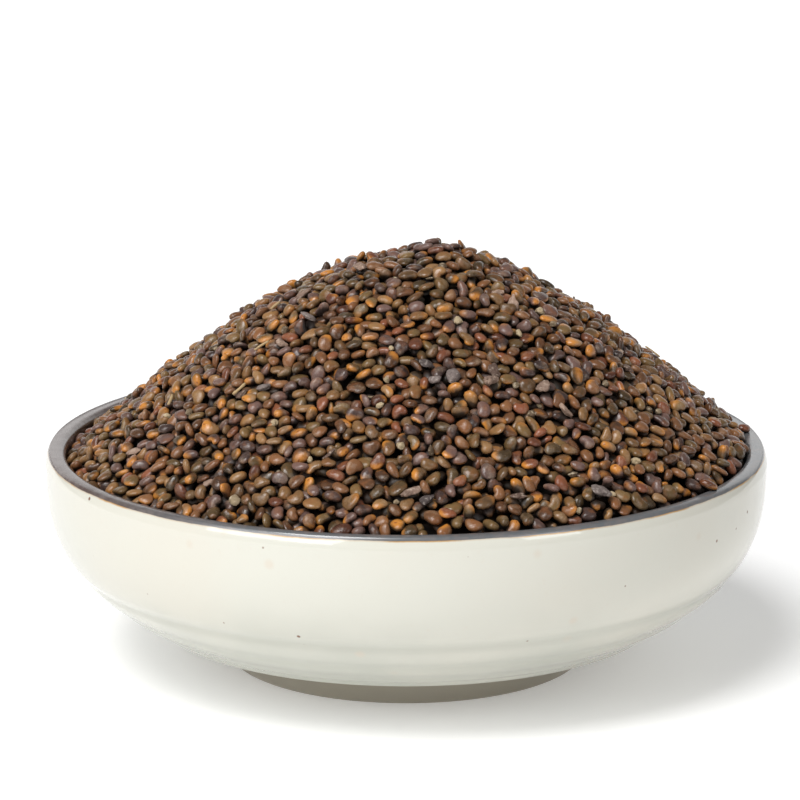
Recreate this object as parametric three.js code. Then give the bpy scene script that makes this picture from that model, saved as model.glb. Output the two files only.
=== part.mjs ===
// A small stoneware dish on a foot ring, heaped with milkvetch seeds.
// Millimetres, +Z up, origin on the table under the centre of the foot.
import * as THREE from "three";

// ---- driving dimensions: the dish (a shoulder stands off its groove by so many half widths) ----
const rimRadius = 60;
const dishHeight = 36;
const lipThickness = 3.4;
const lipRound = 1.1; // the lip's edges are rounded over this much
const wallFoot = { radius: 43, z: 7.4 }; // lower edge of the wall, overhanging the foot
const wallWidest = 34; // height above which the wall stands straight
const wallBulge = 2.9; // the higher, the longer the wall stays upright before it tucks in
const wallEdgeRound = 0.7; // the lower edge is rounded over this much
const foot = { radius: 30, width: 4, taper: 0.8, recess: 2.8, bevel: 0.5, neck: 1.4 };
const floorTop = 8; // the hollow inside: its lowest level, flat radius and how full its curve is
const floorRadius = 22;
const hollowFullness = 2.4;
const edgeGroove = { rise: 0.7, depth: 0.35 }; // thin line turned just above the wall's lower edge
const throwingRings = { heights: [17.3, 12.7, 9.6], depth: 0.3, halfWidth: 1, shoulder: 1.1 };
const plainWallHeights = [22, 26, 30]; // the wall above the rings is drawn through these

// ---- driving dimensions: the seeds ----
const heapPeak = { x: 3, y: 0, z: dishHeight + 32.1 };
const heapRounding = 22.5; // the larger, the blunter the top of the heap
const heapSwell = 1.5; // the slopes stand out this much between the peak and the edge
const crest = { x: 6.2, y: 0, height: 1.6, radius: 5 }; // the last handful, beside the peak
const edgeLevel = { mean: -0.1, swing: 1.2, highSide: -0.35 }; // heap's edge against the lip; radians
const slumps = [
  { height: 0.35, across: 6.1, along: 7.3, turned: 0 },
  { height: 0.25, across: 3, along: 3.6, turned: Math.PI / 4 },
];
const seedThickness = 1.4;
const seedWidth = 2.2;
const seedClearance = 0.35; // between the heap and the glaze
const crownDepth = { least: 0, most: 0.25 }; // below the outer skin, in seed thicknesses
const gapDepth = { least: 0.7, most: 1.1 };
const edgeDepth = 0.4;

// ---- fineness ----
const turnSegments = 56;
const wallSteps = 6;
const skinPoints = 4300;
const edgePoints = 2 * turnSegments;
const skinMargin = 0.5; // of a seed's width, from the outermost bumps to the heap's edge
const skinWander = 0.19; // of a seed's width, by which a point is off its place
const skinSeed = 7;

// Repeatable random numbers from 0 to 1.
function seededRandom(seed) {
  let state = seed;
  return () => {
    state = (state + 0x6d2b79f5) | 0;
    let t = Math.imul(state ^ (state >>> 15), 1 | state);
    t = (t + Math.imul(t ^ (t >>> 7), 61 | t)) ^ t;
    return ((t ^ (t >>> 14)) >>> 0) / 4294967296;
  };
}

// ---- the dish ----

// Outside of the wall: straight near the lip, curving in ever faster below it.
function wallRadius(z) {
  const t = Math.max(0, (wallWidest - z) / (wallWidest - wallFoot.z));
  return rimRadius - (rimRadius - wallFoot.radius) * t ** wallBulge;
}

function ringGroove(z) {
  const { heights, depth, halfWidth } = throwingRings;
  return heights.reduce((sum, at) => sum + depth * Math.exp(-(((z - at) / halfWidth) ** 2)), 0);
}

// Inside of the wall, from the floor's edge up to the lip.
function innerRadius(z) {
  const t = THREE.MathUtils.clamp((wallWidest - z) / (wallWidest - floorTop), 0, 1);
  const topRadius = rimRadius - lipThickness;
  return floorRadius + (topRadius - floorRadius) * (1 - t ** hollowFullness) ** (1 / hollowFullness);
}

// Heights for the inside wall from the top down, closer together where it turns into the floor.
function innerHeights(steps) {
  return Array.from({ length: steps + 1 }, (_, i) => {
    const turn = (Math.PI / 2) * (i / steps);
    return wallWidest - (wallWidest - floorTop) * Math.sin(turn);
  });
}

// Foot ring and the flat underside of the wall, from the axis out to the lower edge.
function undersideOutline() {
  const inner = foot.radius - foot.width;
  const neckRadius = foot.radius + foot.taper;
  const overhang = wallFoot.z - wallEdgeRound / 3;
  return [
    [0, foot.recess],
    [inner - foot.bevel, foot.recess],
    [inner, foot.bevel],
    [inner + foot.bevel, 0],
    [foot.radius - foot.bevel, 0],
    [foot.radius, foot.bevel],
    [neckRadius, overhang - wallEdgeRound],
    [neckRadius + foot.neck, overhang - wallEdgeRound / 3],
    [wallFoot.radius - wallEdgeRound, overhang],
    [wallFoot.radius, wallFoot.z + wallEdgeRound / 2],
  ];
}

function wallOutline() {
  const grooveHeight = wallFoot.z + edgeGroove.rise;
  const shoulder = throwingRings.shoulder * throwingRings.halfWidth;
  const heights = throwingRings.heights
    .flatMap((at) => [at - shoulder, at, at + shoulder])
    .concat(plainWallHeights)
    .sort((a, b) => a - b);
  return [
    [wallRadius(grooveHeight) - edgeGroove.depth, grooveHeight],
    ...heights.map((z) => [wallRadius(z) - ringGroove(z), z]),
  ];
}

// The lip's top, rounded over on both sides.
function lipOutline() {
  const outer = rimRadius - lipRound;
  const inner = rimRadius - lipThickness + lipRound;
  return [0, 1, 2, 3, 4, 5].map((step) => {
    const centre = step < 3 ? outer : inner;
    const angle = (Math.PI / 4) * (step < 3 ? step : step - 1);
    const rise = lipRound * Math.sin(angle);
    return [centre + lipRound * Math.cos(angle), dishHeight - lipRound + rise];
  });
}

function dishOutline() {
  const hollow = innerHeights(wallSteps).map((z) => [innerRadius(z), z]);
  return [...undersideOutline(), ...wallOutline(), ...lipOutline(), ...hollow, [0, floorTop]];
}

function makeDish() {
  const points = dishOutline().map(([r, z]) => new THREE.Vector2(r, z));
  const turned = new THREE.LatheGeometry(points, turnSegments);
  turned.rotateX(Math.PI / 2); // the lathe turns about Y
  const glaze = new THREE.MeshStandardMaterial({ color: 0xdcdccb, roughness: 0.22, metalness: 0 });
  const dish = new THREE.Mesh(turned, glaze);
  dish.name = "dish";
  return dish;
}

// ---- the heap of seeds ----

const heapRim = rimRadius - lipThickness - seedClearance;

// Height of the heap's outer skin. Each slope runs from the peak to the wall, steeper further down.
function heapHeight(x, y) {
  const dx = x - heapPeak.x;
  const dy = y - heapPeak.y;
  const distance = Math.hypot(dx, dy);
  const toWall = distanceToWall(dx, dy);
  const side = Math.atan2(heapPeak.y + toWall.y, heapPeak.x + toWall.x);
  const swing = edgeLevel.swing * Math.cos(side - edgeLevel.highSide);
  const edge = dishHeight + edgeLevel.mean + swing;
  const fall = (d) => Math.hypot(d, heapRounding) - heapRounding;
  const slope = heapPeak.z - (heapPeak.z - edge) * (fall(distance) / fall(toWall.distance));
  const swell = heapSwell * Math.sin(Math.PI * Math.min(1, distance / heapRim));
  const fromCrest = Math.hypot(x - crest.x, y - crest.y) / crest.radius;
  const inside = 1 - (Math.hypot(x, y) / heapRim) ** 4;
  return slope + swell + crest.height * Math.exp(-(fromCrest ** 2)) + slump(x, y) * inside;
}

// From the peak to the inside of the wall, in the direction of dx, dy.
function distanceToWall(dx, dy) {
  const length = Math.hypot(dx, dy) || 1;
  const ux = dx / length;
  const uy = dy / length;
  const along = heapPeak.x * ux + heapPeak.y * uy;
  const peakOff = heapPeak.x ** 2 + heapPeak.y ** 2;
  const distance = -along + Math.sqrt(along ** 2 - peakOff + heapRim ** 2);
  return { distance, x: ux * distance, y: uy * distance };
}

// Gentle waves in the slopes, half a seed high.
function slump(x, y) {
  return slumps.reduce((sum, { height, across, along, turned }) => {
    const u = x * Math.cos(turned) + y * Math.sin(turned);
    const v = y * Math.cos(turned) - x * Math.sin(turned);
    return sum + height * Math.sin(u / across) * Math.cos(v / along);
  }, 0);
}

// Points spread evenly over a disc along a sunflower's spiral, each a little off its place.
function sunflower(count, radius, wander, random) {
  const goldenAngle = Math.PI * (3 - Math.sqrt(5));
  return Array.from({ length: count }, (_, k) => {
    const r = radius * Math.sqrt((k + 0.5) / count);
    const angle = k * goldenAngle;
    return [
      r * Math.cos(angle) + wander * (2 * random() - 1),
      r * Math.sin(angle) + wander * (2 * random() - 1),
    ];
  });
}

// Triangle of three point numbers with its circumcircle.
function withCircle(points, [i, j, k]) {
  const [ax, ay] = points[i];
  const [bx, by] = [points[j][0] - ax, points[j][1] - ay];
  const [cx, cy] = [points[k][0] - ax, points[k][1] - ay];
  const twiceCross = 2 * (bx * cy - by * cx);
  const b2 = bx * bx + by * by;
  const c2 = cx * cx + cy * cy;
  const x = (cy * b2 - by * c2) / twiceCross;
  const y = (bx * c2 - cx * b2) / twiceCross;
  return { corners: [i, j, k], x: ax + x, y: ay + y, radiusSquared: x * x + y * y };
}

// Delaunay triangulation, adding one point at a time. Triangles run anticlockwise.
function triangulate(flatPoints) {
  const count = flatPoints.length;
  const far = 1e5;
  const points = [...flatPoints, [-far, -far], [far, -far], [0, far]];
  let triangles = [withCircle(points, [count, count + 1, count + 2])];
  for (let p = 0; p < count; p++) {
    const [x, y] = points[p];
    const hole = new Map();
    triangles = triangles.filter((t) => {
      if ((t.x - x) ** 2 + (t.y - y) ** 2 > t.radiusSquared) return true;
      t.corners.forEach((from, n) => {
        const to = t.corners[(n + 1) % 3];
        if (!hole.delete(`${to} ${from}`)) hole.set(`${from} ${to}`, [from, to]);
      });
      return false;
    });
    for (const [from, to] of hole.values()) {
      triangles.push(withCircle(points, [from, to, p]));
    }
  }
  return triangles.map((t) => t.corners).filter((corners) => corners.every((k) => k < count));
}

// A point is the crown of a seed unless a crown already stands within a seed's width of it.
function findCrowns(points) {
  const crowns = [];
  return points.map(([x, y]) => {
    const isCrown = crowns.every(([cx, cy]) => Math.hypot(cx - x, cy - y) > seedWidth);
    if (isCrown) crowns.push([x, y]);
    return isCrown;
  });
}

function circle(count, radius) {
  return Array.from({ length: count }, (_, k) => {
    const angle = (2 * Math.PI * k) / count;
    return [radius * Math.cos(angle), radius * Math.sin(angle)];
  });
}

// Joins an upper ring of points to a lower ring that may have fewer, going round by angle.
function zipRings(positions, upper, lower) {
  const turn = 2 * Math.PI;
  const angleOf = (k) => (Math.atan2(positions[k][1], positions[k][0]) + turn) % turn;
  const sorted = (ring) => [...ring].sort((a, b) => angleOf(a) - angleOf(b));
  const top = sorted(upper);
  const bottom = sorted(lower);
  const at = (ring, k) => angleOf(ring[k % ring.length]) + turn * Math.floor(k / ring.length);
  const triangles = [];
  let i = 0;
  let j = 0;
  while (i < top.length || j < bottom.length) {
    const a = top[i % top.length];
    const b = bottom[j % bottom.length];
    const stepTop = j >= bottom.length || (i < top.length && at(top, i + 1) <= at(bottom, j + 1));
    if (stepTop) triangles.push([a, b, top[++i % top.length]]);
    else triangles.push([a, b, bottom[++j % bottom.length]]);
  }
  return triangles;
}

// The top of the heap: crowns of seeds near the outer skin, the gaps between them a seed deeper.
function heapSkin() {
  const random = seededRandom(skinSeed);
  const between = ({ least, most }) => least + (most - least) * random();
  const spread = heapRim - skinMargin * seedWidth;
  const inner = sunflower(skinPoints, spread, skinWander * seedWidth, random);
  const edge = circle(edgePoints, heapRim);
  const isCrown = findCrowns(inner);
  const depths = isCrown.map((crown) => between(crown ? crownDepth : gapDepth));
  depths.push(...edge.map(() => edgeDepth));
  const flat = [...inner, ...edge];
  const positions = flat.map(([x, y], k) => [x, y, heapHeight(x, y) - depths[k] * seedThickness]);
  return { positions, triangles: triangulate(flat), ring: edge.map((_, k) => inner.length + k) };
}

function makeHeap() {
  const { positions, triangles, ring: skinEdge } = heapSkin();
  let ring = skinEdge;
  for (const z of innerHeights(wallSteps)) {
    const firstOfRing = positions.length;
    const wall = circle(turnSegments, innerRadius(z) - seedClearance);
    positions.push(...wall.map(([x, y]) => [x, y, z + seedClearance]));
    const lowerRing = wall.map((_, k) => firstOfRing + k);
    triangles.push(...zipRings(positions, ring, lowerRing));
    ring = lowerRing;
  }
  const centre = positions.length;
  positions.push([0, 0, floorTop + seedClearance]);
  ring.forEach((k, i) => triangles.push([k, centre, ring[(i + 1) % ring.length]]));

  const geometry = new THREE.BufferGeometry();
  geometry.setAttribute("position", new THREE.Float32BufferAttribute(positions.flat(), 3));
  geometry.setIndex(triangles.flat());
  geometry.computeVertexNormals();
  const husk = new THREE.MeshStandardMaterial({ color: 0x5d4432, roughness: 0.55, metalness: 0 });
  const heap = new THREE.Mesh(geometry, husk);
  heap.name = "seed_heap";
  return heap;
}

const dishOfSeeds = new THREE.Group();
dishOfSeeds.add(makeDish(), makeHeap());

export default dishOfSeeds;
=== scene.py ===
# A stoneware dish, turned from an outline, heaped with milkvetch seeds that each have a shape of their own.
import math
import bpy
import numpy as np
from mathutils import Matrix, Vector


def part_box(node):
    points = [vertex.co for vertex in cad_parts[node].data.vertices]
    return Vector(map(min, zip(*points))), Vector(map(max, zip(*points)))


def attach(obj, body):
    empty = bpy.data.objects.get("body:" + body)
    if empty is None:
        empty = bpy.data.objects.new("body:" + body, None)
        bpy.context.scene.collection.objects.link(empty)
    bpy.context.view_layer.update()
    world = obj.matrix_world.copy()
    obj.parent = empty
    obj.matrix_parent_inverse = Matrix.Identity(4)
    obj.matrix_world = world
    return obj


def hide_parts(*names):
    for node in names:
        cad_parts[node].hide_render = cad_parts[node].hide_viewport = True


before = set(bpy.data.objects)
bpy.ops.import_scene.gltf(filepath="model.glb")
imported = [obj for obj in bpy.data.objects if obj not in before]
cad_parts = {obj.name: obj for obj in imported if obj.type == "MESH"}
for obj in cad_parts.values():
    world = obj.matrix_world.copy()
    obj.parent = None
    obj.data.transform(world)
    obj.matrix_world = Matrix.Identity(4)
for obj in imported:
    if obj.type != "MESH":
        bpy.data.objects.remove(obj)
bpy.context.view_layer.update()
mm = 0.001
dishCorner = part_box("dish")[1]
rimRadius = dishCorner.x / mm
dishHeight = dishCorner.z / mm
print("frame loaded: dish", round(2 * rimRadius), "mm across,", round(dishHeight), "mm tall")


# sockets, nodes and colours

class Value:
    # a socket whose arithmetic adds Math nodes
    def __init__(self, finish, socket):
        self.finish = finish
        self.socket = socket

    def __add__(self, other):
        return self.finish.maths("ADD", self, other)

    def __sub__(self, other):
        return self.finish.maths("SUBTRACT", self, other)

    def __rsub__(self, other):
        return self.finish.maths("SUBTRACT", other, self)

    def __mul__(self, other):
        return self.finish.maths("MULTIPLY", self, other)

    __radd__ = __add__
    __rmul__ = __mul__


class Finish:
    # one material, built node by node
    def __init__(self, name):
        self.material = bpy.data.materials.new(name)
        self.material.use_nodes = True
        self.tree = self.material.node_tree
        self.tree.nodes.clear()
        self.place = self.add("ShaderNodeTexCoord", output="Object")

    def add(self, kind, settings=None, inputs=None, output=0):
        node = self.tree.nodes.new(kind)
        for name, value in (settings or {}).items():
            setattr(node, name, value)
        for name, value in (inputs or {}).items():
            if isinstance(value, Value):
                self.tree.links.new(value.socket, node.inputs[name])
            else:
                node.inputs[name].default_value = value
        return Value(self, node.outputs[output]) if len(node.outputs) else None

    def maths(self, operation, *values):
        return self.add("ShaderNodeMath", {"operation": operation}, dict(enumerate(values)))

    def ease(self, value, low, high):
        # 0 below low, 1 above high, smooth between; low may be the larger
        inputs = {"Value": value, "From Min": low, "From Max": high}
        return self.add("ShaderNodeMapRange", {"interpolation_type": "SMOOTHSTEP"}, inputs)

    def mix(self, factor, first, second):
        return self.add("ShaderNodeMix", {"data_type": "RGBA"}, {0: factor, 6: first, 7: second}, 2)

    def noise(self, size, detail=2.0, roughness=0.5):
        # size is the width of a blotch in millimetres
        inputs = {"Vector": self.place, "Scale": 1 / (size * mm), "Detail": detail, "Roughness": roughness}
        return self.add("ShaderNodeTexNoise", None, inputs)

    def spots(self, cell, share, radius, edge):
        # round spots in millimetres, at most one in each cell and only in a share of the cells
        cells = {"voronoi_dimensions": "3D", "feature": "F1"}
        inputs = {"Vector": self.place, "Scale": 1 / (cell * mm)}
        distance = self.add("ShaderNodeTexVoronoi", cells, inputs, "Distance")
        chance = self.add("ShaderNodeTexVoronoi", cells, inputs, "Color")
        chosen = self.add("ShaderNodeSeparateColor", None, {"Color": chance}, "Red")
        spot = self.ease(distance, (radius + edge) / cell, radius / cell)
        return spot * self.ease(chosen, 1 - share, 1.02 - share)

    def stored(self, name):
        return self.add("ShaderNodeAttribute", {"attribute_name": name}, output="Fac")

    def bump(self, height, depth, under=None):
        # depth in millimetres, for a height from 0 to 1
        inputs = {"Height": height, "Strength": 1.0, "Distance": depth * mm}
        if under:
            inputs["Normal"] = under
        return self.add("ShaderNodeBump", None, inputs)

    def done(self, **inputs):
        # underscores in the shader's input names stand for spaces
        named = {name.replace("_", " "): value for name, value in inputs.items()}
        shader = self.add("ShaderNodeBsdfPrincipled", None, named)
        self.add("ShaderNodeOutputMaterial", None, {"Surface": shader})
        return self.material


def paint(red, green, blue):
    # a colour as a screen shows it, 0 to 255, to the renderer's linear one
    def linear(value):
        value /= 255
        return value / 12.92 if value <= 0.04045 else ((value + 0.055) / 1.055) ** 2.4
    return (linear(red), linear(green), linear(blue), 1.0)


# meshes

def makeMesh(name, points, corners, sizes, material, stored=None, flatMap=None):
    # points in millimetres; corners are point numbers, face after face, and sizes the corners of each face
    mesh = bpy.data.meshes.new(name)
    mesh.vertices.add(len(points))
    mesh.vertices.foreach_set("co", (points * mm).astype(np.float32).ravel())
    mesh.loops.add(len(corners))
    mesh.loops.foreach_set("vertex_index", corners.astype(np.int32))
    mesh.polygons.add(len(sizes))
    starts = np.concatenate([[0], np.cumsum(sizes)[:-1]])
    mesh.polygons.foreach_set("loop_start", starts.astype(np.int32))
    mesh.update(calc_edges=True)
    mesh.polygons.foreach_set("use_smooth", np.ones(len(sizes), bool))
    for key, values in (stored or {}).items():
        attribute = mesh.attributes.new(key, "FLOAT", "POINT")
        attribute.data.foreach_set("value", values.astype(np.float32).ravel())
    if flatMap is not None:
        layer = mesh.uv_layers.new(name="OFBake")
        layer.data.foreach_set("uv", flatMap.astype(np.float32).ravel())
    mesh.materials.append(material)
    piece = bpy.data.objects.new(name, mesh)
    bpy.context.scene.collection.objects.link(piece)
    return piece


def place(piece, node):
    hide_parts(node)
    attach(piece, "root")


def skinOverRings(rings, first, last):
    # a closed skin through rings of points, from the bottom outwards and up, with a middle point at both ends
    rows, columns = rings.shape[:2]
    row = np.arange(rows - 1)[:, None] * columns
    around = np.arange(columns)
    after = (around + 1) % columns
    quads = np.stack([row + around, row + after, row + columns + after, row + columns + around], -1)
    middle = rows * columns
    top = middle - columns
    below = np.stack([after, around, np.full(columns, middle)], -1)
    above = np.stack([top + around, top + after, np.full(columns, middle + 1)], -1)
    corners = np.concatenate([quads.ravel(), below.ravel(), above.ravel()])
    sizes = np.concatenate([np.full((rows - 1) * columns, 4), np.full(2 * columns, 3)])
    return np.concatenate([rings.reshape(-1, 3), [first, last]]), corners, sizes


def turned(outline, segments):
    # rings of points from an outline of (radius, height)
    angles = np.arange(segments) * 2 * math.pi / segments
    radius, height = outline[:, :1], outline[:, 1:]
    return np.stack([radius * np.cos(angles), radius * np.sin(angles), height + 0 * angles], -1)


# the dish

dishForm = {
    "lipThickness": 3.4, "lipRound": 1.1, "shoulderWidth": 0.8, "shoulderDrop": 1.95, "shoulderFullness": 1.3,
    "wallFootRadius": 43.0, "wallFootHeight": 7.4, "wallWidest": 34.0, "wallBulge": 2.9,
    "footRadius": 30.0, "footWidth": 4.0, "footTaper": 0.8, "footRecess": 2.8,
    "floorTop": 8.0, "floorRadius": 22.0, "hollowFullness": 2.4,
    "grooveRise": 0.7, "grooveDepth": 0.28, "grooveHalfWidth": 0.26,
    "rings": [17.3, 12.7, 9.6], "ringDepth": 0.33, "ringHalfWidth": 1.0,
    "segments": 192,
}
innerLip = rimRadius - dishForm["lipThickness"]


def ringDents(z, halfWidth):
    return sum(np.exp(-((z - at) / halfWidth) ** 2) for at in dishForm["rings"])


def wallRadius(z):
    # outside of the wall: straight near the lip, curving in ever faster below it
    form = dishForm
    t = np.clip((form["wallWidest"] - z) / (form["wallWidest"] - form["wallFootHeight"]), 0, 1)
    plain = rimRadius - (rimRadius - form["wallFootRadius"]) * t ** form["wallBulge"]
    groove = np.exp(-((z - form["wallFootHeight"] - form["grooveRise"]) / form["grooveHalfWidth"]) ** 2)
    return plain - form["ringDepth"] * ringDents(z, form["ringHalfWidth"]) - form["grooveDepth"] * groove


def innerRadius(z):
    form = dishForm
    t = np.clip((form["wallWidest"] - z) / (form["wallWidest"] - form["floorTop"]), 0, 1)
    full = form["hollowFullness"]
    return form["floorRadius"] + (innerLip - form["floorRadius"]) * (1 - t ** full) ** (1 / full)


def hollowOutline(steps, gap):
    # inside of the wall from the lip down to the floor, gap millimetres clear of it
    turns = np.linspace(0, math.pi / 2, steps)
    heights = dishForm["wallWidest"] - (dishForm["wallWidest"] - dishForm["floorTop"]) * np.sin(turns)
    return np.stack([innerRadius(heights) - gap, heights + gap], -1)


def roundCorners(corners, steps=5):
    # corners are (radius, height, rounding); each is cut back by its rounding and bridged by a curve
    path = []
    for number, (r, z, cut) in enumerate(corners):
        here = np.array([r, z], float)
        if cut == 0:
            path.append(here)
            continue
        ends = []
        for other in (corners[number - 1], corners[number + 1]):
            way = np.array(other[:2], float) - here
            ends.append(here + way / np.hypot(*way) * cut)
        for t in np.linspace(0, 1, steps):
            path.append((1 - t) ** 2 * ends[0] + 2 * t * (1 - t) * here + t ** 2 * ends[1])
    return np.array(path)


def lipEdge(radius, width, drop, fullness):
    # from the side at the radius up to the lip's top: 1 is a straight bevel and 2 a round edge
    turns = np.linspace(0, math.pi / 2, 11)
    across, up = np.abs([np.cos(turns), np.sin(turns)]) ** (2 / fullness)
    return np.stack([radius - width * (1 - across), dishHeight - drop * (1 - up)], -1)


def dishOutline():
    form = dishForm
    inner = form["footRadius"] - form["footWidth"]
    edge = form["wallFootHeight"]
    neck = form["footRadius"] + form["footTaper"]
    # recess, foot ring and underside, then the wall, the lip and the inside
    under = roundCorners([
        (inner - 0.6, form["footRecess"], 0), (inner - 0.1, form["footRecess"] - 0.4, 0.3), (inner, 0, 0.6),
        (form["footRadius"], 0, 0.6), (neck, edge - 0.9, 1.2),
        (form["wallFootRadius"] - 0.1, edge - 0.25, 0.35), (wallRadius(edge + 0.5), edge + 0.5, 0),
    ])
    ringTop = max(form["rings"]) + 2 * form["ringHalfWidth"]
    wallTop = dishHeight - form["shoulderDrop"] - 0.2
    heights = np.concatenate([np.arange(edge + 0.6, ringTop, 0.24), np.linspace(ringTop, wallTop, 14)])
    wall = np.stack([wallRadius(heights), heights], -1)
    shoulder = lipEdge(rimRadius, form["shoulderWidth"], form["shoulderDrop"], form["shoulderFullness"])
    inside = lipEdge(innerLip, -form["lipRound"], form["lipRound"], 2)[::-1]
    return np.concatenate([under, wall, shoulder, inside, hollowOutline(16, 0)])


glaze = {
    # creamDeep is the painted shade low on the wall, and also deepens the rings
    "cream": paint(212, 211, 200), "creamDeep": paint(180, 181, 170), "creamWarm": paint(213, 208, 195),
    # iron is paler and bluer than the glaze's own brown, ironWarm, as painted reflection at the front and
    # right
    "iron": paint(98, 101, 104), "ironWarm": paint(84, 68, 63), "ironPale": paint(122, 113, 110),
    "speck": paint(116, 70, 38), "flush": paint(208, 190, 170), "footShade": paint(168, 161, 146),
    "amber": paint(188, 146, 92), "amberWidth": 0.24, "ironDrop": 0.5,
    "roughness": 0.05, "ironRoughness": 0.25,
}


def glazeFinish():
    f = Finish("glazed stoneware")
    g = glaze
    height = f.stored("heightOnWall")
    # the dark glaze starts at a wavering line, with a thin amber edge; it keeps its own warm brown on the far
    # left and is a paler blue-grey at the front and right, a painted reflection
    line = f.stored("pastGlazeLine") + (f.noise(5.0, 2.0) - 0.5) * 0.3 + (f.noise(0.7, 2.0) - 0.5) * 0.1
    iron = f.ease(line, 0.0, 0.16)
    amber = f.ease(line, -g["amberWidth"], 0.04) * (0.3 + 0.7 * f.ease(f.noise(11.0), 0.4, 0.6))
    thin = f.ease(f.noise(1.4, 3.0), 0.35, 0.75)
    # painted reflection: all but the far left gets the paler blue-grey iron
    sideways = f.add("ShaderNodeSeparateXYZ", None, {"Vector": f.place}, "X")
    ironColour = f.mix(f.ease(sideways, -55 * mm, -25 * mm), g["ironWarm"], g["iron"])
    ironColour = f.mix(thin * 0.6, ironColour, g["ironPale"])

    # the cream glaze is darker low on the wall, a painted shade, and deeper in the rings, with warm clouds,
    # flushes and specks
    low = f.ease(height + (f.noise(16.0, 3.0, 0.55) - 0.5) * 8, 25.0, 7.5)
    cream = f.mix(low, g["cream"], g["creamDeep"])
    cream = f.mix(f.ease(f.noise(30.0, 2.0), 0.42, 0.75) * 0.5, cream, g["creamWarm"])
    cream = f.mix(f.stored("inGroove") * 0.5, cream, g["creamDeep"])
    cream = f.mix(f.ease(f.noise(0.9, 3.0), 0.6, 0.8) * 0.12, cream, g["flush"])
    cream = f.mix(f.spots(6.7, 0.3, 0.3, 0.9) * 0.35, cream, g["flush"])
    speck = f.maths("MAXIMUM", f.spots(5.5, 0.3, 0.2, 0.2), f.spots(3.1, 0.16, 0.12, 0.14) * 0.7)
    cream = f.mix(speck * 0.9, cream, g["speck"])
    cream = f.mix(amber, cream, g["amber"])
    # painted shade on the foot, under the overhanging wall
    cream = f.mix(f.ease(height, 7.0, 6.2), cream, g["footShade"])
    colour = f.mix(iron, cream, ironColour)

    bare = f.ease(height, 0.55, 0.2)  # the foot's unglazed rest
    roughness = g["roughness"] + iron * (g["ironRoughness"] - g["roughness"]) + bare * 0.5 + speck * 0.2
    swell = f.bump(f.noise(9.0, 2.0), 0.08)
    peel = f.bump(f.noise(1.3, 2.0), 0.008, swell)
    pits = f.bump(1 - speck, 0.04, peel)
    return f.done(Base_Color=colour, Roughness=roughness, Normal=pits, IOR=1.58,
                  Coat_Weight=iron * 0.15, Coat_IOR=1.9, Coat_Roughness=0.08)


def makeDish():
    outline = dishOutline()
    segments = dishForm["segments"]
    recess = [0, 0, dishForm["footRecess"]]
    floorMiddle = [0, 0, dishForm["floorTop"]]
    points, corners, sizes = skinOverRings(turned(outline, segments), recess, floorMiddle)
    along = np.concatenate([[0], np.cumsum(np.hypot(*np.diff(outline, axis=0).T))])
    lipTop = np.argmax(outline[:, 1])
    outside = slice(lipTop // 2, lipTop + 1)  # the upper part of the wall's outside
    glazeLine = np.interp(dishHeight - glaze["ironDrop"], outline[outside, 1], along[outside])
    pooled = ringDents(outline[:, 1], 1.2 * dishForm["ringHalfWidth"]) * (along < glazeLine)
    stored = {
        "pastGlazeLine": np.append(np.repeat(along - glazeLine, segments), [-50.0, 50.0]),
        "heightOnWall": points[:, 2],
        "inGroove": np.append(np.repeat(pooled, segments), [0.0, 0.0]),
    }
    return makeMesh("stonewareDish", points, corners, sizes, glazeFinish(), stored)


dish = makeDish()
place(dish, "dish")
print("dish turned:", len(dish.data.polygons), "faces")


# the heap's outer form

heapForm = {
    "peakX": 3.0, "peakRise": 32.1, "rounding": 22.5, "swell": 1.5,
    "crestX": 6.2, "crestHeight": 1.6, "crestRadius": 5.0,
    "edgeMean": -0.1, "edgeSwing": 1.2, "edgeHighSide": -0.35, "clearance": 0.35,
    "slumps": [(0.35, 6.1, 7.3, 0.0), (0.25, 3.0, 3.6, math.pi / 4)],
}
heapRim = innerLip - heapForm["clearance"]


def heapHeight(x, y):
    # each slope runs from the peak to the wall, steeper further down
    form = heapForm
    dx, dy = x - form["peakX"], y
    distance = np.hypot(dx, dy) + 1e-9
    ux, uy = dx / distance, dy / distance
    along = form["peakX"] * ux
    toWall = -along + np.sqrt(np.maximum(along ** 2 - form["peakX"] ** 2 + heapRim ** 2, 1e-6))
    side = np.arctan2(uy * toWall, form["peakX"] + ux * toWall)
    edge = dishHeight + form["edgeMean"] + form["edgeSwing"] * np.cos(side - form["edgeHighSide"])
    peak = dishHeight + form["peakRise"]
    def fall(d):
        return np.hypot(d, form["rounding"]) - form["rounding"]
    slope = peak - (peak - edge) * fall(distance) / fall(toWall)
    swell = form["swell"] * np.sin(math.pi * np.minimum(1, distance / heapRim))
    crest = form["crestHeight"] * np.exp(-(np.hypot(x - form["crestX"], y) / form["crestRadius"]) ** 2)
    slump = 0
    for height, across, length, turn in form["slumps"]:
        u = x * math.cos(turn) + y * math.sin(turn)
        v = y * math.cos(turn) - x * math.sin(turn)
        slump = slump + height * np.sin(u / across) * np.cos(v / length)
    return slope + swell + crest + slump * (1 - np.minimum(1, np.hypot(x, y) / heapRim) ** 4)


# what lies in the heap: the share of each kind among the sound and the odd ones, and each family's form, in
# millimetres; a pair is a mean and its spread

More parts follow.
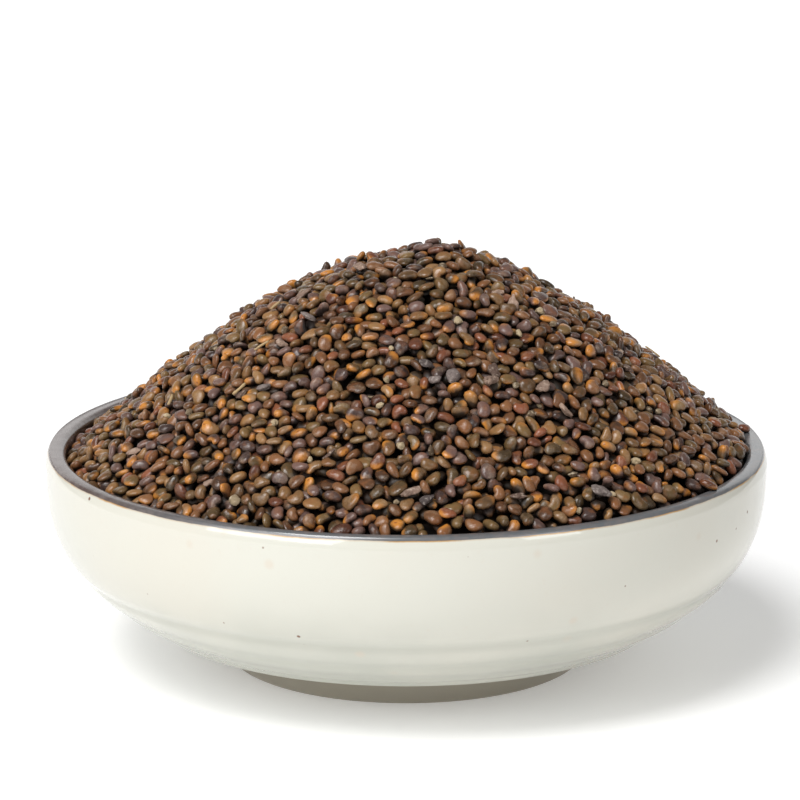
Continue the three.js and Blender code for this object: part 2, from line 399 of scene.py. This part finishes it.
kinds = {
    "olive": {"share": 0.24, "family": "sound"},
    "khaki": {"share": 0.20, "family": "sound"},
    "umber": {"share": 0.26, "family": "sound"},
    "rust": {"share": 0.10, "family": "sound"},
    "plum": {"share": 0.20, "family": "sound"},
    "withered": {"share": 0.5, "family": "withered"},
    "husk": {"share": 0.25, "family": "husk"},
    "crumb": {"share": 0.25, "family": "crumb"},
}
families = {
    "sound": {
        "length": (2.85, 0.27), "widthShare": (0.8, 0.08), "thickness": (1.4, 0.2), "pillow": 0.82,
        "taper": (0.06, 0.12), "notch": (0.24, 0.12), "bend": (0.1, 0.08), "curl": (0.0, 0.0),
        "wobble": 0.035, "waves": 0.9, "dents": 2, "dentDepth": 0.09, "segments": 14, "bands": 8,
    },
    "withered": {
        "length": (3.0, 0.4), "widthShare": (0.82, 0.08), "thickness": (1.25, 0.2), "pillow": 1.0,
        "taper": (0.1, 0.15), "notch": (0.2, 0.15), "bend": (0.1, 0.1), "curl": (0.0, 0.1),
        "wobble": 0.07, "waves": 1.6, "dents": 4, "dentDepth": 0.26, "segments": 20, "bands": 12,
    },
    "husk": {
        "length": (3.3, 0.5), "widthShare": (0.6, 0.1), "thickness": (1.0, 0.2), "pillow": 1.0,
        "taper": (0.0, 0.35), "notch": (0.2, 0.25), "bend": (0.1, 0.2), "curl": (0.1, 0.15),
        "wobble": 0.1, "waves": 1.7, "dents": 5, "dentDepth": 0.3, "segments": 24, "bands": 16,
    },
    "crumb": {
        "length": (1.7, 0.4), "widthShare": (0.78, 0.12), "thickness": (1.2, 0.2), "pillow": 1.0,
        "taper": (0.0, 0.2), "notch": (0.1, 0.15), "bend": (0.0, 0.15), "curl": (0.0, 0.1),
        "wobble": 0.08, "waves": 1.6, "dents": 5, "dentDepth": 0.24, "segments": 20, "bands": 12,
    },
}
kindNames = list(kinds)
oddFrom = kindNames.index("withered")

# how the pieces are laid: lengths in millimetres, block and spread in cells of the grid, tilt in degrees;
# a piece rolls down by small steps, and its contact body is smaller than itself so that neighbours nestle
laying = {
    "cell": 0.15, "margin": 3.0, "depth": 4.0, "block": 11, "spread": 4, "edgeGap": 0.5, "leastEdgeGap": 0.45,
    "passes": 200, "perPass": 350, "tries": 6, "refusals": 8, "jitter": 0.25, "gapJitter": 0.06,
    "firstGap": 1.8, "lastGap": 0.55, "proud": (0.12, 0.2), "level": 0.6, "tilt": 24.0,
    "standing": 0.2, "standingLean": (0.6, 1.5), "roll": 0.25, "rolls": 4, "rollDrop": 0.5,
    "contact": 0.98, "thickest": 0.85, "oddShare": 0.045, "randomSeed": 11,
    "lipCount": 9, "lipRadius": (56.2, 57.4), "lipAngles": (-0.95, 0.45), "lipProud": 1.8,
}
farBelow = -99.0  # the height where nothing lies
# pieces that catch the eye, with their places on the heap
landmarks = [
    ("withered", -16.6, -16.8), ("crumb", 9.3, -22.4), ("husk", 13.4, -29.9), ("husk", 21.8, -30.9),
    ("husk", 25.1, -33.2), ("husk", 13.2, -33.4), ("withered", 4.6, -34.3), ("crumb", -2.4, -28.6),
    ("crumb", -5.2, -34.5), ("withered", 3.0, -31.2), ("crumb", 17.4, -31.2), ("husk", 0.2, -51.0),
    ("withered", 29.5, -46.0), ("husk", -7.3, -4.8), ("crumb", 23.3, -15.4), ("withered", -22.5, -27.5),
]


def normalise(vectors):
    return vectors / np.linalg.norm(vectors, axis=-1, keepdims=True)


def smoothed(grid, reach):
    # mean over a square of cells round each cell
    width = 2 * reach + 1
    for _ in range(2):
        padded = np.pad(grid, ((reach + 1, reach), (0, 0)), "edge")
        total = np.cumsum(padded, axis=0)
        grid = ((total[width:] - total[:-width]) / width).T
    return grid


class Bed:
    # the surface that the next seed falls on, as a grid of heights
    def __init__(self):
        self.cell = laying["cell"]
        self.half = int(round((rimRadius + laying["margin"]) / self.cell))
        line = np.arange(-self.half, self.half + 1) * self.cell
        self.x, self.y = np.meshgrid(line, line, indexing="ij")
        radius = np.hypot(self.x, self.y)
        self.skin = heapHeight(self.x, self.y)
        self.slopeX, self.slopeY = np.gradient(self.skin, self.cell)
        lipRound = dishForm["lipRound"]
        flat = dishForm["lipThickness"] / 2 - lipRound
        fromMiddle = np.clip(np.abs(radius - (rimRadius + innerLip) / 2) - flat, 0, lipRound)
        lip = dishHeight - lipRound + np.sqrt(lipRound ** 2 - fromMiddle ** 2)
        self.height = np.where(radius < rimRadius, lip, farBelow)
        self.height = np.where(radius < innerLip, self.skin - laying["depth"], self.height)
        self.inside = radius < heapRim - laying["edgeGap"]
        self.owner = np.full(self.x.shape, -1, np.int32)
        self.places, self.axes, self.sizes, self.kinds = [], [], [], []

    def at(self, x, y):
        return int(round(x / self.cell)) + self.half, int(round(y / self.cell)) + self.half

    def attitudes(self, x, y, random):
        # mostly lying flat, between level and along the slope, and a few on edge; the columns are a
        # seed's length, width and thickness
        count = laying["tries"]
        i, j = self.at(x, y)
        slant = 1 - laying["level"]
        up = normalise(np.array([-self.slopeX[i, j] * slant, -self.slopeY[i, j] * slant, 1.0]))
        lean = np.abs(random.normal(0, math.radians(laying["tilt"]), count))
        onEdge = random.random(count) < laying["standing"]
        lean = np.where(onEdge, random.uniform(*laying["standingLean"], count), lean)
        aside = random.normal(size=(count, 3))
        aside = normalise(aside - (aside @ up)[:, None] * up)
        thin = np.cos(lean)[:, None] * up + np.sin(lean)[:, None] * aside
        length = random.normal(size=(count, 3))
        length = normalise(length - (length * thin).sum(-1, keepdims=True) * thin)
        return np.stack([length, np.cross(thin, length), thin], -1)

    def rest(self, x, y, axes, sizes):
        # rests a tilted ellipsoid at x, y in each attitude: heights of its middle, the cells round it, which
        # of them it covers, and how far its top is above its middle there
        reach = int(sizes.max() / self.cell) + 1
        i, j = self.at(x, y)
        window = (slice(i - reach, i + reach + 1), slice(j - reach, j + reach + 1))
        dx, dy = self.x[window] - x, self.y[window] - y
        spread = ((axes * np.square(sizes)) @ axes.transpose(0, 2, 1))[..., None, None]
        xx, xy, xz = spread[:, 0, 0], spread[:, 0, 1], spread[:, 0, 2]
        yy, yz, zz = spread[:, 1, 1], spread[:, 1, 2], spread[:, 2, 2]
        det = xx * yy - xy ** 2
        qx = (yy * xz - xy * yz) / det
        qy = (xx * yz - xy * xz) / det
        thick = np.sqrt(np.maximum(zz - qx * xz - qy * yz, 0))
        share = 1 - (yy * dx ** 2 - 2 * xy * dx * dy + xx * dy ** 2) / det
        middle = qx * dx + qy * dy
        half = thick * np.sqrt(np.maximum(share, 0))
        heights = np.where(share > 0, self.height[window] - (middle - half), farBelow).max((1, 2))
        return heights, window, share > 0, middle + half

    def roll(self, x, y, axes, sizes):
        # rolls a resting body down the hollow under it, by small steps as long as one of them leads down
        def aboveSkin(spot):
            return self.rest(*spot, axes, sizes)[0][0] - self.skin[self.at(*spot)]
        level = aboveSkin((x, y))
        for _ in range(laying["rolls"]):
            step = laying["roll"]
            spots = [(x + step, y), (x - step, y), (x, y + step), (x, y - step)]
            levels = [aboveSkin(spot) for spot in spots]
            best = int(np.argmin(levels))
            if levels[best] >= level or math.hypot(*spots[best]) > heapRim - laying["leastEdgeGap"]:
                break
            (x, y), level = spots[best], levels[best]
        return x, y

    def lay(self, x, y, kind, random, proud):
        # keeps the attitude that lies lowest and rolls it down, unless it ends too proud of the skin
        family = families[kinds[kindNames[kind]]["family"]]
        length = random.normal(*family["length"])
        width = length * random.normal(*family["widthShare"])
        thickness = min(random.normal(*family["thickness"]), width * laying["thickest"])
        sizes = np.array([length, width, thickness]) / 2
        body = sizes * laying["contact"]
        axes = self.attitudes(x, y, random)
        heights = self.rest(x, y, axes, body)[0]
        best = int(np.argmin(heights))
        proud -= sizes[2]
        if heights[best] > self.skin[self.at(x, y)] + proud + laying["rollDrop"]:
            return False
        x, y = self.roll(x, y, axes[best:best + 1], body)
        heights, window, covered, top = self.rest(x, y, axes[best:best + 1], body)
        if heights[0] > self.skin[self.at(x, y)] + proud:
            return False
        surface = np.where(covered[0], heights[0] + top[0], farBelow)
        higher = surface > self.height[window]
        self.height[window] = np.where(higher, surface, self.height[window])
        self.owner[window] = np.where(higher, len(self.places), self.owner[window])
        self.places.append((x, y, heights[0]))
        self.axes.append(axes[best])
        self.sizes.append(sizes)
        self.kinds.append(kind)
        return True


def drawKind(random, oddShare):
    odd = random.random() < oddShare
    choices = kindNames[oddFrom:] if odd else kindNames[:oddFrom]
    shares = [kinds[name]["share"] for name in choices]
    return random.choice(len(shares), p=shares) + odd * oddFrom


def fillHeap(bed, random, leastGap, oddShare):
    # fills the hollowest places first, pass after pass, until nothing more fits under the heap's skin
    size, cell = laying["block"], laying["cell"]
    blocks = len(bed.x) // size
    span = blocks * size
    def inBlocks(grid):
        squares = grid[:span, :span].reshape(blocks, size, blocks, size).swapaxes(1, 2)
        return squares.reshape(blocks, blocks, -1)
    inside = inBlocks(bed.inside)
    refused = np.zeros((blocks, blocks), int)
    for _ in range(laying["passes"]):
        gap = smoothed(bed.skin - bed.height, laying["spread"])
        gap = gap + random.normal(0, laying["gapJitter"], bed.skin.shape)
        gaps = np.where(inside, inBlocks(gap), farBelow)
        deepest = gaps.argmax(-1)
        depth = np.where(refused < laying["refusals"], gaps.max(-1), farBelow)
        hollow = np.argwhere(depth > leastGap)
        if len(hollow) == 0:
            break
        order = np.argsort(-depth[hollow[:, 0], hollow[:, 1]])[:laying["perPass"]]
        for bx, by in hollow[order]:
            i = bx * size + deepest[bx, by] // size
            j = by * size + deepest[bx, by] % size
            x, y = np.array([i - bed.half, j - bed.half]) * cell + random.uniform(-1, 1, 2) * laying["jitter"]
            if math.hypot(x, y) > heapRim - laying["leastEdgeGap"]:
                refused[bx, by] += 1
                continue
            if not bed.lay(x, y, drawKind(random, oddShare), random, random.normal(*laying["proud"])):
                refused[bx, by] += 1


def layHeap(random):
    bed = Bed()
    fillHeap(bed, random, laying["firstGap"], 0.0)
    print("lower seeds laid:", len(bed.places))
    anyHeight = dishHeight  # so proud that nothing is refused
    for name, x, y in landmarks:
        bed.lay(x, y, kindNames.index(name), random, anyHeight)
    fillHeap(bed, random, laying["lastGap"], laying["oddShare"])
    for angle in np.linspace(*laying["lipAngles"], laying["lipCount"]):
        radius = random.uniform(*laying["lipRadius"])
        angle += random.uniform(-0.03, 0.03)
        x, y = radius * math.cos(angle), radius * math.sin(angle)
        onLip = dishHeight - bed.skin[bed.at(x, y)] + laying["lipProud"]
        bed.lay(x, y, drawKind(random, 0), random, onLip)
    print("all seeds laid:", len(bed.places))
    return bed


random = np.random.default_rng(laying["randomSeed"])
bed = layHeap(random)


# shapes of seeds, husks and crumbs

def seedBlank(segments, bands):
    # a round blank with its poles at both ends of the length: directions, the faces' corners and sizes, and
    # its flat map
    turn = np.arange(segments) * 2 * math.pi / segments
    tip = np.arange(1, bands) * math.pi / bands
    ring = np.stack([np.cos(tip)[:, None] + 0 * turn, np.sin(tip)[:, None] * np.cos(turn),
                     np.sin(tip)[:, None] * np.sin(turn)], -1)
    directions = np.concatenate([[[1, 0, 0]], ring.reshape(-1, 3), [[-1, 0, 0]]])
    corners, sizes, flat = [], [], []
    last = len(directions) - 1
    for j in range(segments):
        near, far = j, (j + 1) % segments
        corners += [0, 1 + near, 1 + far]
        flat += [((j + 0.5) / segments, 0), (j / segments, 1 / bands), ((j + 1) / segments, 1 / bands)]
        sizes.append(3)
        for i in range(bands - 2):
            here, below = 1 + i * segments, 1 + (i + 1) * segments
            corners += [here + near, below + near, below + far, here + far]
            for u, v in ((j, i + 1), (j, i + 2), (j + 1, i + 2), (j + 1, i + 1)):
                flat.append((u / segments, v / bands))
            sizes.append(4)
        low = 1 + (bands - 2) * segments
        corners += [low + near, last, low + far]
        edge = 1 - 1 / bands
        flat += [(j / segments, edge), ((j + 0.5) / segments, 1), ((j + 1) / segments, edge)]
        sizes.append(3)
    return directions, np.array(corners), np.array(sizes), np.array(flat)


seedForm = {
    "leastTaper": 0.25, "mostTaper": 1.75, "notchWidth": 0.45, "bowMiddle": 0.33, "waves": 3,
    "dentWidth": 0.14, "deepestDent": 0.45,
}


def shapeAll(blank, halves, family, random):
    # each seed's own shape from the blank: a kidney, tapered and bent, uneven, with a dent or more
    form = seedForm
    count = len(halves)
    def draw(key):
        return random.normal(*family[key], (count, 1))
    dx, dy, dz = blank.T[:, None, :]
    bow = dx ** 2 - form["bowMiddle"]
    taper = np.clip(1 + draw("taper") * dx, form["leastTaper"], form["mostTaper"])
    y = dy * taper + draw("notch") * np.exp(-(dx / form["notchWidth"]) ** 2) * np.maximum(-dy, 0)
    y = y - draw("bend") * bow
    z = np.sign(dz) * np.abs(dz) ** family["pillow"] * np.sqrt(taper)
    uneven = np.ones((count, len(blank)))
    for wave in range(form["waves"]):
        # each wave is shorter and weaker than the one before
        way = normalise(random.normal(size=(count, 3)))
        phase = random.uniform(0, 2 * math.pi, (count, 1))
        strength = family["wobble"] / (1 + 0.5 * wave)
        uneven += strength * np.sin(math.pi * family["waves"] * (1 + 0.6 * wave) * (way @ blank.T) + phase)
    for _ in range(family["dents"]):
        way = normalise(random.normal(size=(count, 3)))
        depth = np.minimum(np.abs(random.normal(0, family["dentDepth"], (count, 1))), form["deepestDent"])
        uneven -= depth * np.exp((way @ blank.T - 1) / form["dentWidth"])
    a, b, c = halves[:, :1], halves[:, 1:2], halves[:, 2:]
    z = z * uneven * c + draw("curl") * a * bow
    return np.stack([a * dx * uneven, b * y * uneven, z], -1)


patchForm = {"share": 0.52, "strength": (0.55, 1.15), "reach": 0.15, "towards": [1.0, 0.7, 0.35]}


def amberPatches(blank, count, random):
    # how near each point is to its seed's amber patch, mostly at an end or at the edge, and the scar in the
    # patch's middle; many seeds have none
    form = patchForm
    way = normalise(random.normal(size=(count, 3)) * form["towards"])
    near = way @ blank.T
    patched = random.random((count, 1)) < form["share"]
    strength = patched * random.uniform(*form["strength"], (count, 1))
    warm = strength * np.clip((near + form["reach"]) / (1 + form["reach"]), 0, 1)
    return warm, patched * (near == near.max(1, keepdims=True))


def depthUnderTop(points):
    # how far each point lies below the top of whatever covers it; the seed coats paint shade by it
    i, j = (np.round(points[..., axis] / bed.cell).astype(int) + bed.half for axis in (0, 1))
    return np.maximum(bed.height[i, j] - points[..., 2], 0)


def makeSeeds(name, chosen, family, material, segments, bands):
    directions, corners, sizes, flat = seedBlank(segments, bands)
    count = len(chosen)
    local = shapeAll(directions, np.array(bed.sizes)[chosen], family, random)
    points = local @ np.array(bed.axes)[chosen].transpose(0, 2, 1) + np.array(bed.places)[chosen][:, None]
    steps = np.arange(count)[:, None]
    corners = (corners + steps * len(directions)).ravel()
    # the flat map gives each seed a square of its own, with a margin round it
    side = math.ceil(math.sqrt(count))
    squares = np.stack([steps % side, steps // side], -1)
    margin = 0.04
    flatMap = (squares + margin + (1 - 2 * margin) * flat) / side
    one = np.ones(len(directions))
    warm, scar = amberPatches(directions, count, random)
    stored = {
        "tone": random.random((count, 1)) * one,
        "hue": (np.array(bed.kinds)[chosen][:, None] + 0.5) / oddFrom * one,
        "warm": warm, "scar": scar, "paintedShadeDepth": depthUnderTop(points),
    }
    piece = makeMesh(name, points.reshape(-1, 3), corners, np.tile(sizes, count), material, stored, flatMap)
    place(piece, "seed_heap")
    print(name + ":", count)


# finishes of what lies in the heap

seedLooks = {
    "olive": {"dark": paint(55, 42, 27), "light": paint(124, 97, 60)},
    "khaki": {"dark": paint(74, 54, 35), "light": paint(150, 112, 71)},
    "umber": {"dark": paint(60, 40, 28), "light": paint(136, 93, 60)},
    "rust": {"dark": paint(68, 39, 28), "light": paint(140, 84, 58)},
    "plum": {"dark": paint(50, 38, 35), "light": paint(116, 90, 82)},
}
# gap is the near-black colour of the painted shade, laid on from gapFrom to gapTo millimetres under the top
# of what covers a point
seedSkin = {
    "amber": paint(206, 134, 54), "blush": paint(136, 82, 44), "film": paint(184, 162, 136),
    "scar": paint(110, 48, 30), "gap": paint(16, 10, 7), "gapFrom": 0.1, "gapTo": 1.2,
    "roughness": 0.25, "wrinkle": 0.08, "grain": 0.03,
}


def seedCoat(f, dark, light):
    # a mottled coat with its amber patch and scar, a pale film here and there, and painted shade, near black,
    # where it lies deep under the seeds above; dark and light are colours or sockets
    s = seedSkin
    mottle = f.noise(0.9, 3.0, 0.6)
    grain = f.noise(0.24, 2.0)
    colour = f.mix(f.ease(f.stored("tone") * 0.75 + mottle * 0.6, 0.15, 1.15), dark, light)
    colour = f.mix(f.ease(f.noise(1.6, 3.0), 0.45, 0.7) * 0.4, colour, s["blush"])
    amber = f.ease(f.stored("warm") + (mottle - 0.5) * 0.5, 0.25, 1.0)
    colour = f.mix(amber * 0.85, colour, s["amber"])
    colour = f.mix(f.ease(f.stored("scar"), 0.4, 0.8) * 0.7, colour, s["scar"])
    film = f.ease(f.noise(2.0, 2.0), 0.5, 0.75)
    colour = f.mix(film * (0.12 + 0.3 * f.ease(grain, 0.45, 0.7)), colour, s["film"])
    # painted shade: the deeper a point lies under what covers it, the nearer black it is painted; it is
    # rougher there too
    paintedShadeDepth = f.ease(f.stored("paintedShadeDepth"), s["gapFrom"], s["gapTo"])
    colour = f.mix(paintedShadeDepth * 0.85, colour, s["gap"])
    roughness = s["roughness"] + film * 0.16 + paintedShadeDepth * 0.3 + (grain - 0.5) * 0.1
    wrinkled = f.bump(mottle, s["wrinkle"])
    grained = f.bump(grain, s["grain"], wrinkled)
    return f.done(Base_Color=colour, Roughness=roughness, Normal=grained, IOR=1.5)


def mixedSeedCoat(f):
    # all kinds of sound seed in one piece, told apart by their hue
    hue = f.stored("hue")
    dark, light = seedLooks["olive"]["dark"], seedLooks["olive"]["light"]
    for number, look in enumerate(list(seedLooks.values())[1:], 1):
        edge = number / len(seedLooks)
        step = f.ease(hue, edge - 0.01, edge + 0.01)
        dark, light = f.mix(step, dark, look["dark"]), f.mix(step, light, look["light"])
    return seedCoat(f, dark, light)


def dryCoat(f, dark, light, pale, depth):
    # withered seeds, husks and crumbs: dull and wrinkled, paler on the wrinkles' ridges and darker in their
    # hollows
    crinkle = f.noise(0.55, 4.0, 0.65)
    blotch = f.noise(1.4, 2.0)
    colour = f.mix(f.ease(f.stored("tone") * 0.8 + blotch * 0.5, 0.2, 1.1), dark, light)
    colour = f.mix(f.ease(crinkle, 0.5, 0.7) * 0.6, colour, pale)
    colour = f.mix(f.ease(crinkle, 0.42, 0.3) * 0.7, colour, dark)
    return f.done(Base_Color=colour, Roughness=0.72, Normal=f.bump(crinkle, depth), IOR=1.45)


dryLooks = {
    "withered": {
        "dark": paint(70, 60, 58), "light": paint(140, 126, 120), "pale": paint(196, 184, 174), "depth": 0.3,
    },
    "husk": {
        "dark": paint(84, 64, 54), "light": paint(170, 142, 124), "pale": paint(208, 188, 170), "depth": 0.3,
    },
    "crumb": {
        "dark": paint(92, 74, 56), "light": paint(188, 168, 134), "pale": paint(226, 210, 180), "depth": 0.26,
    },
}

# the most seeds in a piece, and the share of a seed that has to show for full detail or to be made at all;
# the other seeds are made with few faces, in a piece of their own
budget = {
    "perPiece": 820, "underPiece": 2400, "fullSeen": 0.2, "leastSeen": 0.03,
    "underSegments": 8, "underBands": 4,
}


def makeAllSeeds():
    halves = np.array(bed.sizes)
    kindOf = np.array(bed.kinds)
    cells = np.bincount(bed.owner[bed.owner >= 0], minlength=len(halves))
    seen = cells * laying["cell"] ** 2 / (math.pi * halves[:, 0] * halves[:, 1])
    under = []
    for number, name in enumerate(kindNames):
        mine = np.flatnonzero(kindOf == number)
        mine = mine[np.argsort(-seen[mine])]
        family = families[kinds[name]["family"]]
        if number < oddFrom:
            full = mine[:budget["perPiece"]]
            full = full[seen[full] > budget["fullSeen"]]
            under.append(np.setdiff1d(mine, full))
            material = seedCoat(Finish("seed coat " + name), **seedLooks[name])
        else:
            full = mine[seen[mine] > budget["leastSeen"]]
            material = dryCoat(Finish("dry " + name), **dryLooks[name])
        pieceName = ("seeds" if number < oddFrom else "dry") + name.capitalize()
        makeSeeds(pieceName, np.sort(full), family, material, family["segments"], family["bands"])
    under = np.concatenate(under)
    under = under[np.argsort(-seen[under])][:budget["underPiece"]]
    under = np.sort(under[seen[under] > budget["leastSeen"]])
    material = mixedSeedCoat(Finish("seed coat of the lower seeds"))
    makeSeeds("seedsUnder", under, families["sound"], material, budget["underSegments"], budget["underBands"])


makeAllSeeds()


# bits of stem on top of the seeds; the first ones are placed by x, y and heading

stemForm = {
    "count": 11, "length": (1.3, 2.6), "radius": (0.15, 0.27), "bow": 0.3, "rings": 7, "sides": 7,
    "edgeGap": 4.0, "uneven": (0.85, 1.15), "placed": [(-23.2, -19.5, 0.15), (-26.6, -26.1, 0.4)],
    "straw": paint(178, 152, 112), "bark": paint(110, 82, 56),
}


def makeStem(x, y, heading, length, radius):
    # lies on the highest seeds under it, bowed to one side, thin at its ends
    rings, sides = stemForm["rings"], stemForm["sides"]
    t = np.linspace(-0.5, 0.5, rings)
    bow = stemForm["bow"] * random.uniform(-1, 1) * length * (0.25 - t ** 2)
    way = np.array([math.cos(heading), math.sin(heading)])
    spine = np.array([x, y]) + t[:, None] * length * way + bow[:, None] * [-way[1], way[0]]
    cells = [bed.at(*spot) for spot in spine]
    under = np.array([bed.height[i - 1:i + 2, j - 1:j + 2].max() for i, j in cells])
    line = np.polyfit(t, np.array([bed.skin[i, j] for i, j in cells]), 1)
    plane = np.polyval(line, t)
    height = plane + (under - plane).max() + radius
    spine = np.column_stack([spine, height])
    along = normalise(np.gradient(spine, axis=0))
    across = normalise(np.cross(along, [0, 0, 1]))
    upward = np.cross(across, along)
    turn = np.arange(sides) * 2 * math.pi / sides
    girth = radius * (1 - 1.4 * np.abs(t) ** 3) * random.uniform(*stemForm["uneven"], rings)
    ring = across[:, None] * np.cos(turn)[:, None] + upward[:, None] * np.sin(turn)[:, None]
    return skinOverRings(spine[:, None] + girth[:, None, None] * ring, spine[0], spine[-1])


def stemFinish():
    f = Finish("dry stem")
    fibre = f.noise(0.3, 3.0, 0.6)
    brown = f.ease(f.stored("tone") + (fibre - 0.5) * 0.8, 0.2, 0.9)
    colour = f.mix(brown, stemForm["straw"], stemForm["bark"])
    return f.done(Base_Color=colour, Roughness=0.65, Normal=f.bump(fibre, 0.04), IOR=1.45)


def makeStems():
    spots = list(stemForm["placed"])
    while len(spots) < stemForm["count"]:
        radius = (heapRim - stemForm["edgeGap"]) * math.sqrt(random.random())
        angle = random.uniform(0, 2 * math.pi)
        spots.append((radius * math.cos(angle), radius * math.sin(angle), random.uniform(0, math.pi)))
    points, corners, sizes, tones = [], [], [], []
    count = 0
    for x, y, heading in spots:
        length, radius = random.uniform(*stemForm["length"]), random.uniform(*stemForm["radius"])
        stemPoints, stemCorners, stemSizes = makeStem(x, y, heading, length, radius)
        points.append(stemPoints)
        corners.append(stemCorners + count)
        sizes.append(stemSizes)
        tones.append(np.full(len(stemPoints), random.random()))
        count += len(stemPoints)
    stored = {"tone": np.concatenate(tones)}
    stems = makeMesh("bitsOfStem", np.concatenate(points), np.concatenate(corners), np.concatenate(sizes),
                     stemFinish(), stored)
    place(stems, "seed_heap")
    print("bits of stem:", len(spots))


makeStems()


# the heap's core, which only shows at the bottom of the deepest gaps; it is coloured near black, painted
# shade for the seeds that would lie there in shadow

coreForm = {
    "depth": 3.8, "bump": 0.45, "bumpWidth": 2.5, "waves": 14, "rings": 62, "segments": 168,
    "belowLip": 4.2, "innermost": 1.0, "fade": 2.0,
    "dark": paint(14, 10, 8), "light": paint(38, 28, 21),
}


def coreBumps(x, y):
    # seed-sized bumps: waves of about a seed's width from all sides
    total = 0
    for _ in range(coreForm["waves"]):
        way, phase = random.uniform(0, 2 * math.pi, 2)
        pitch = 2 * math.pi / (coreForm["bumpWidth"] * random.uniform(0.85, 1.3))
        total = total + np.cos(pitch * (x * math.cos(way) + y * math.sin(way)) + phase)
    return coreForm["bump"] * total / math.sqrt(coreForm["waves"])


def coreFinish():
    f = Finish("shaded seeds")
    lump = f.noise(1.8, 2.0)
    # painted shade: near-black browns
    colour = f.mix(f.ease(lump, 0.35, 0.65), coreForm["dark"], coreForm["light"])
    return f.done(Base_Color=colour, Roughness=0.9, Normal=f.bump(lump, 0.5), Specular_IOR_Level=0.1)


def makeCore():
    form = coreForm
    clear = heapForm["clearance"]
    below = hollowOutline(14, clear)[::-1]
    below = turned(below[below[:, 1] < dishHeight - form["belowLip"]], form["segments"])
    inwards = np.linspace(heapRim, form["innermost"], form["rings"])
    top = turned(np.stack([inwards, 0 * inwards], -1), form["segments"])
    x, y = top[..., 0], top[..., 1]
    fade = np.clip((heapRim - np.hypot(x, y)) / form["fade"], 0, 1)
    top[..., 2] = heapHeight(x, y) - form["depth"] + coreBumps(x, y) * fade
    peak = heapHeight(np.zeros(1), np.zeros(1))[0] - form["depth"]
    floorMiddle = [0, 0, dishForm["floorTop"] + clear]
    points, corners, sizes = skinOverRings(np.concatenate([below, top]), floorMiddle, [0, 0, peak])
    core = makeMesh("seedCore", points, corners, sizes, coreFinish())
    place(core, "seed_heap")
    print("core:", len(core.data.polygons), "faces")


makeCore()


# camera, floor and light

studio = {
    "elevation": 13.49, "distance": 600.0, "lens": 162.3, "target": (-1.04, 0.0, 43.18),
    "floorRadius": 3000.0, "floorSides": 64, "floorGlow": 0.25,
    "floorColour": paint(246, 246, 246), "floorCloud": paint(240, 240, 238),
}
# bearings are counted to the right from the camera's side, rises from the horizontal; millimetres and watts
lights = {
    "world": 0.2,
    "sun": {"bearing": -36.0, "rise": 60.0, "distance": 1000.0, "strength": 2.0, "softness": 26.0},
    "softBoxes": {
        "keyBox": {
            "bearing": -43.0, "rise": 31.0, "distance": 900.0, "width": 660.0, "height": 400.0, "watts": 3.5,
        },
        "sideBox": {
            "bearing": 46.0, "rise": 30.0, "distance": 900.0, "width": 260.0, "height": 300.0, "watts": 0.85,
        },
        "backBox": {
            "bearing": 180.0, "rise": 16.0, "distance": 1200.0,
            "width": 2400.0, "height": 500.0, "watts": 3.6,
        },
    },
}


def fromTarget(bearing, rise, distance):
    bearing, rise = math.radians(bearing), math.radians(rise)
    way = Vector((math.sin(bearing) * math.cos(rise), -math.cos(bearing) * math.cos(rise), math.sin(rise)))
    return (Vector(studio["target"]) + way * distance) * mm


def aimed(name, data, bearing, rise, distance):
    # a camera or light that looks at the target
    thing = bpy.data.objects.new(name, data)
    thing.location = fromTarget(bearing, rise, distance)
    way = Vector(studio["target"]) * mm - thing.location
    thing.rotation_euler = way.to_track_quat("-Z", "Y").to_euler()
    bpy.context.scene.collection.objects.link(thing)
    return thing


def makeCamera():
    camera = bpy.data.cameras.new("camera")
    camera.lens = studio["lens"]
    camera.sensor_width = 36.0
    camera.clip_start = 0.01
    bpy.context.scene.camera = aimed("camera", camera, 0, studio["elevation"], studio["distance"])


def makeLights():
    look = lights["sun"]
    sun = bpy.data.lights.new("sun", "SUN")
    sun.energy = look["strength"]
    sun.angle = math.radians(look["softness"])
    aimed("sun", sun, look["bearing"], look["rise"], look["distance"])
    for name, look in lights["softBoxes"].items():
        box = bpy.data.lights.new(name, "AREA")
        box.shape = "RECTANGLE"
        box.size = look["width"] * mm
        box.size_y = look["height"] * mm
        box.energy = look["watts"]
        aimed(name, box, look["bearing"], look["rise"], look["distance"])
    world = bpy.data.worlds.new("studio")
    world.use_nodes = True
    background = world.node_tree.nodes["Background"]
    background.inputs["Color"].default_value = (1.0, 1.0, 1.0, 1.0)
    background.inputs["Strength"].default_value = lights["world"]
    bpy.context.scene.world = world


def makeFloor():
    f = Finish("plain floor")
    cloud = f.ease(f.noise(400.0, 2.0), 0.3, 0.7)
    colour = f.mix(cloud * 0.1, studio["floorColour"], studio["floorCloud"])
    glow = studio["floorGlow"]
    material = f.done(Base_Color=colour, Roughness=0.8, Emission_Color=colour, Emission_Strength=glow)
    sides = studio["floorSides"]
    turn = np.arange(sides) * 2 * math.pi / sides
    points = np.stack([np.cos(turn), np.sin(turn), 0 * turn], -1) * studio["floorRadius"]
    floor = makeMesh("floor", points, np.arange(sides), np.array([sides]), material)


makeCamera()
makeLights()
makeFloor()
bpy.context.scene.view_settings.view_transform = "Standard"
print("studio set")
